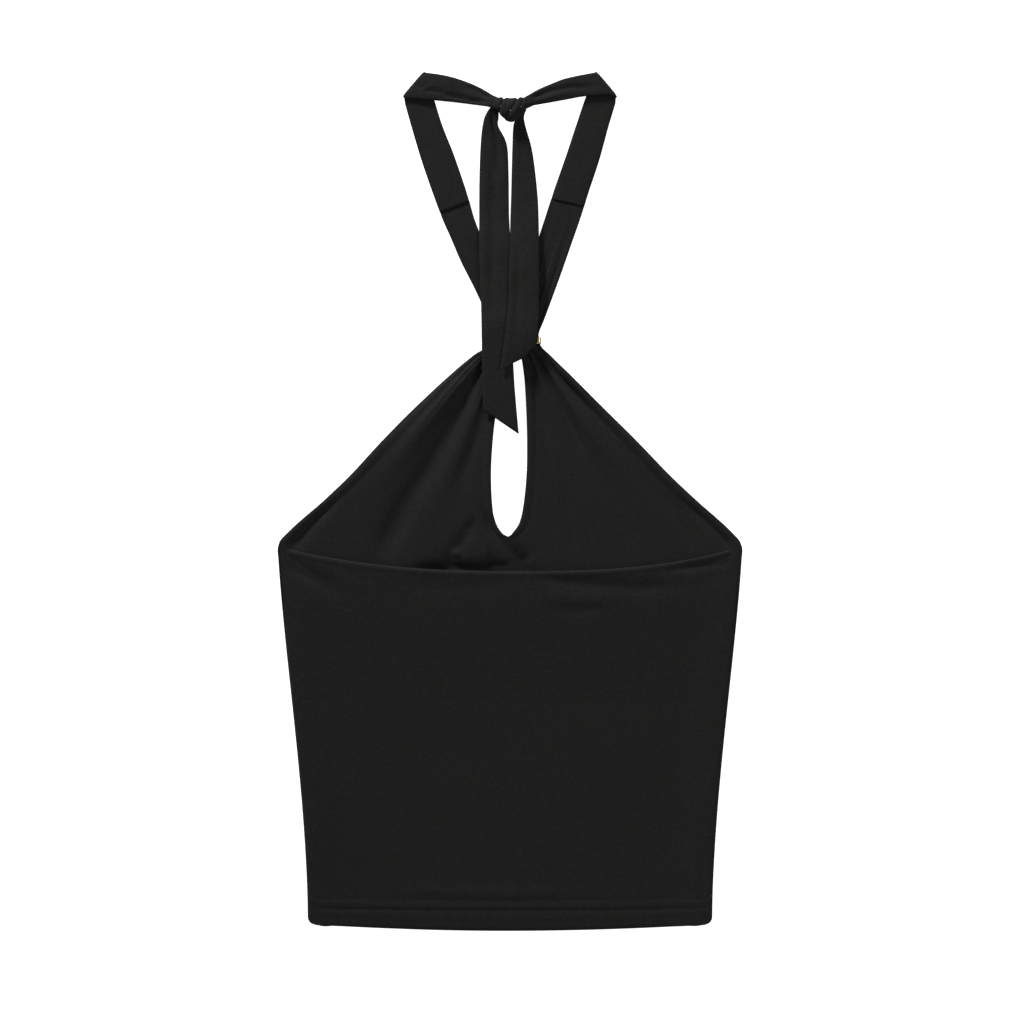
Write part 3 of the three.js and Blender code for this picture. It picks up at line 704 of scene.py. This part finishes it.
@dataclass
class Ties:
    """The two ties, each from its seam over the neck fold and through the knot to its free end."""

    builder: Builder
    across: int = 15

    @staticmethod
    def stations(table: Sequence[Sequence[float]], steps: int) -> np.ndarray:
        """Edge points of a tie on smooth curves through its stations."""
        rows = np.array(table)
        padded = np.vstack([2 * rows[0] - rows[1], rows, 2 * rows[-1] - rows[-2]])
        made = []
        for t in np.linspace(0, len(rows) - 1, steps + 1):
            i = min(int(t), len(rows) - 2)
            f = t - i
            p0, p1, p2, p3 = padded[i : i + 4]
            cubic = 2 * p1 + (p2 - p0) * f + (2 * p0 - 5 * p1 + 4 * p2 - p3) * f**2
            made.append(0.5 * (cubic + (3 * p1 - p0 - 3 * p2 + p3) * f**3))
        return np.array(made)

    @staticmethod
    def fold(edge: Sequence[float], inside: np.ndarray) -> np.ndarray:
        """Half a turn about the neck fold."""
        a = np.array(edge[:2])
        b = np.array(edge[2:4])
        radius = edge[4]
        along = (b - a) / np.linalg.norm(b - a)
        out = np.array([along[1], -along[0]])
        if out @ (inside - a) > 0:
            out = -out
        made = []
        for angle in np.radians(np.linspace(12, 168, 9)):
            shift = out * radius * (math.sin(angle) - 1)
            z = 1 + radius * (1 - math.cos(angle))
            made.append([*(a + shift), z, *(b + shift), z])
        return np.array(made)

    def flat_rings(self, stations: np.ndarray) -> np.ndarray:
        """Rounded flat sections of a tie.

        Args:
            stations: Rows of outer edge x, y, z and inner edge x, y, z.

        Returns:
            One ring of points for each station, in millimetres.
        """
        a, b = stations[:, :3], stations[:, 3:]
        travel = np.gradient(a + b, axis=0)
        span = b - a
        normal = np.cross(travel, span)
        normal /= np.linalg.norm(normal, axis=1, keepdims=True)
        share = (1 - np.cos(np.linspace(0, math.pi, self.across))) / 2
        half = TIE / 2 * (0.12 + 0.88 * (1 - np.abs(2 * share - 1) ** 5) ** 0.5)
        middle = a[:, None] + span[:, None] * share[None, :, None]
        lift = normal[:, None] * half[None, :, None]
        up = middle + lift
        down = middle - lift
        for face in (up, down):
            face[..., 2] += self.creased(face[..., 0], face[..., 1], face[..., 2])
        rings = np.concatenate([up, down[:, ::-1]], axis=1)
        rings[..., 2] = np.maximum(rings[..., 2], 0)
        return rings

    @staticmethod
    def creased(x: np.ndarray, y: np.ndarray, z: np.ndarray) -> np.ndarray:
        """Height of the ties' creases, which the layer that lies on top shows."""
        height = sum(crease.height(x, y) for crease in TIE_CREASES)
        wave = 0.14 * np.sin(y / 9.5 + 0.16 * x) + 0.1 * np.sin(y / 4.3 - x / 5)
        return (height + wave) * smooth((z - 0.4) / 1.2)

    def knot_ring(self, along: float, facing: float, towards: int) -> np.ndarray:
        """One tie's half of the knot at a place along it.

        Args:
            along: Place along the knot, from -1 to 1.
            facing: The way that this tie's half faces, in radians.
            towards: 1 or -1, the way round that its points run.

        Returns:
            The ring's points, in millimetres.
        """
        bulge = 1 - along**2
        wide = KNOT_END[0] + (KNOT_MIDDLE[0] - KNOT_END[0]) * bulge
        tall = KNOT_END[1] + (KNOT_MIDDLE[1] - KNOT_END[1]) * bulge
        share = np.linspace(0, 1, self.across)
        angle = facing + towards * math.pi * (0.5 - share)
        puff = 0.86 + 0.14 * np.sin(math.pi * share) ** 0.6 + 0.03 * np.sin(3 * math.pi * share + 2 * along)
        arc = np.stack([0 * angle, wide * puff * np.cos(angle), tall * puff * np.sin(angle)], axis=1)
        chord = arc[-1] + (arc[0] - arc[-1]) * share[:, None]
        clear = np.array([0, math.cos(facing), math.sin(facing)]) * 0.3
        centre = np.array([KNOT["x"] + along * KNOT["half"], KNOT["y"] + KNOT["rise"] * along**2, KNOT["z"]])
        return np.concatenate([arc, chord]) + centre + clear

    def make(self, name: str, parts: tuple, direction: int, node: str) -> bpy.types.Object:
        """One whole tie.

        Args:
            name: The object's name.
            parts: Its strap, fold, band and tail.
            direction: 1 where it enters the knot from the left, -1 from the right.
            node: The part's node that it stands for.

        Returns:
            The tie.
        """
        strap, fold, band, tail = parts
        rising = self.stations(strap, 40)
        inside = (rising[-1, :2] + rising[-1, 3:5]) / 2
        lead = np.vstack([rising, self.fold(fold, inside), self.stations(band, 60)])
        free = self.stations(tail, 150)
        if direction < 0:
            lead = lead[:, [3, 4, 5, 0, 1, 2]]
            free = free[:, [3, 4, 5, 0, 1, 2]]
        steps = 70
        knot = []
        for share in np.linspace(0, 1, steps + 1):
            eased = share + 0.105 * math.sin(2 * math.pi * share)
            facing = math.pi / 2 - direction * 2 * math.pi * KNOT["turns"] * eased
            knot.append(self.knot_ring(direction * (2 * share - 1), facing, direction))
        rings = np.concatenate([self.flat_rings(lead), np.array(knot), self.flat_rings(free)])
        return self.sweep(name, rings, node)

    def sweep(self, name: str, rings: np.ndarray, node: str) -> bpy.types.Object:
        """Lays a grid round the rings of a tie and closes its ends.

        Args:
            name: The object's name.
            rings: Points by ring, in millimetres.
            node: The part's node that it stands for.

        Returns:
            The tie.
        """
        rows, around = rings.shape[:2]
        mesh = bmesh.new()

        def surface(u: np.ndarray, v: np.ndarray) -> tuple[np.ndarray, ...]:
            column = np.rint(u * around).astype(int) % around
            row = np.rint(v * (rows - 1)).astype(int)
            return tuple(rings[row, column].T)

        self.builder.grid(mesh, around, rows - 1, surface)
        bmesh.ops.remove_doubles(mesh, verts=mesh.verts, dist=0.0005 * MM)
        bmesh.ops.holes_fill(mesh, edges=[edge for edge in mesh.edges if edge.is_boundary], sides=0)
        bmesh.ops.recalc_face_normals(mesh, faces=mesh.faces)
        piece = self.builder.finish(name, mesh, JERSEY)
        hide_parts(node)
        return piece


def make_ring(builder: Builder) -> bpy.types.Object:
    """The gathering ring: a flattened metal band with softened edges."""
    segments = 96
    mesh = bmesh.new()
    radius = RING["height"] / 2
    straight = RING["width"] / 2 - radius

    def surface(u: np.ndarray, v: np.ndarray) -> tuple[np.ndarray, ...]:
        turn = 2 * math.pi * u
        around = 2 * math.pi * v
        wall, depth = RING["wall"] / 2, RING["depth"] / 2
        out = wall * np.sign(np.cos(around)) * np.abs(np.cos(around)) ** 0.45
        along = depth * np.sign(np.sin(around)) * np.abs(np.sin(around)) ** 0.45
        reach = radius - wall + out
        x = RING["x"] + straight * np.clip(1.6 * np.cos(turn), -1, 1) + reach * np.cos(turn)
        return x, RING["y"] + along, radius + reach * np.sin(turn)

    builder.grid(mesh, segments, 24, surface)
    bmesh.ops.remove_doubles(mesh, verts=mesh.verts, dist=0.0005 * MM)
    bmesh.ops.recalc_face_normals(mesh, faces=mesh.faces)
    piece = builder.finish("metal_ring", mesh, GOLD)
    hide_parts("ring")
    return piece


@dataclass
class Studio:
    """The pale floor, the soft lights and the camera."""

    view_width: float = 0.773
    camera_height: float = 2.2

    def light(self, name: str, place: tuple[float, float, float], size: float, power: float) -> None:
        """Adds a square area light that faces the middle of the top."""
        data = bpy.data.lights.new(name, "AREA")
        data.size = size
        data.energy = power
        lamp = bpy.data.objects.new(name, data)
        lamp.location = place
        lamp.rotation_euler = (-Vector(place)).to_track_quat("-Z", "Y").to_euler()
        bpy.context.scene.collection.objects.link(lamp)

    def floor(self) -> None:
        """A white floor, which reads white to the camera and keeps the contact shadow."""
        mesh = bmesh.new()
        bmesh.ops.create_grid(mesh, x_segments=1, y_segments=1, size=4)
        data = bpy.data.meshes.new("floor")
        mesh.to_mesh(data)
        mesh.free()
        floor = bpy.data.objects.new("floor", data)
        floor.location.z = -0.0004
        bpy.context.scene.collection.objects.link(floor)
        material = bpy.data.materials.new("floor")
        material.use_nodes = True
        tree = material.node_tree
        shader = tree.nodes["Principled BSDF"]
        shader.inputs["Base Color"].default_value = (0.9, 0.9, 0.9, 1)
        shader.inputs["Roughness"].default_value = 1
        shader.inputs["Specular IOR Level"].default_value = 0
        rays = tree.nodes.new("ShaderNodeLightPath")
        shader.inputs["Emission Color"].default_value = (1, 1, 1, 1)
        tree.links.new(rays.outputs["Is Camera Ray"], shader.inputs["Emission Strength"])
        data.materials.append(material)

    def build(self) -> None:
        """Makes the whole studio."""
        scene = bpy.context.scene
        world = bpy.data.worlds.new("studio")
        world.use_nodes = True
        world.node_tree.nodes["Background"].inputs["Color"].default_value = (1, 1, 1, 1)
        world.node_tree.nodes["Background"].inputs["Strength"].default_value = 0.13
        scene.world = world
        scene.view_settings.view_transform = "Standard"
        self.light("key", (-0.85, 1.8, 0.6), 0.35, 40)
        self.light("fill", (1.2, 0.5, 1.3), 0.8, 7)
        self.light("low", (0.2, -1.6, 0.7), 0.8, 5)
        self.floor()
        data = bpy.data.cameras.new("camera")
        data.sensor_width = 36
        data.lens = data.sensor_width * self.camera_height / self.view_width
        camera = bpy.data.objects.new("camera", data)
        camera.location = (1.5 * MM, -8.3 * MM, self.camera_height)
        scene.collection.objects.link(camera)
        scene.camera = camera


def main() -> None:
    """Builds the top and its studio."""
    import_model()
    builder = Builder(Materials())
    body = Body(builder)
    back = body.back()
    front = body.front()
    stitches = body.stitches()
    ties = Ties(builder)
    left = ties.make("left_tie", (STRAP_LEFT, FOLD_LEFT, BAND_LEFT, TAIL_RIGHT), 1, "tie_left")
    right = ties.make("right_tie", (STRAP_RIGHT, FOLD_RIGHT, BAND_RIGHT, TAIL_LEFT), -1, "tie_right")
    ring = make_ring(builder)
    Studio().build()


if __name__ == "__main__":
    main()
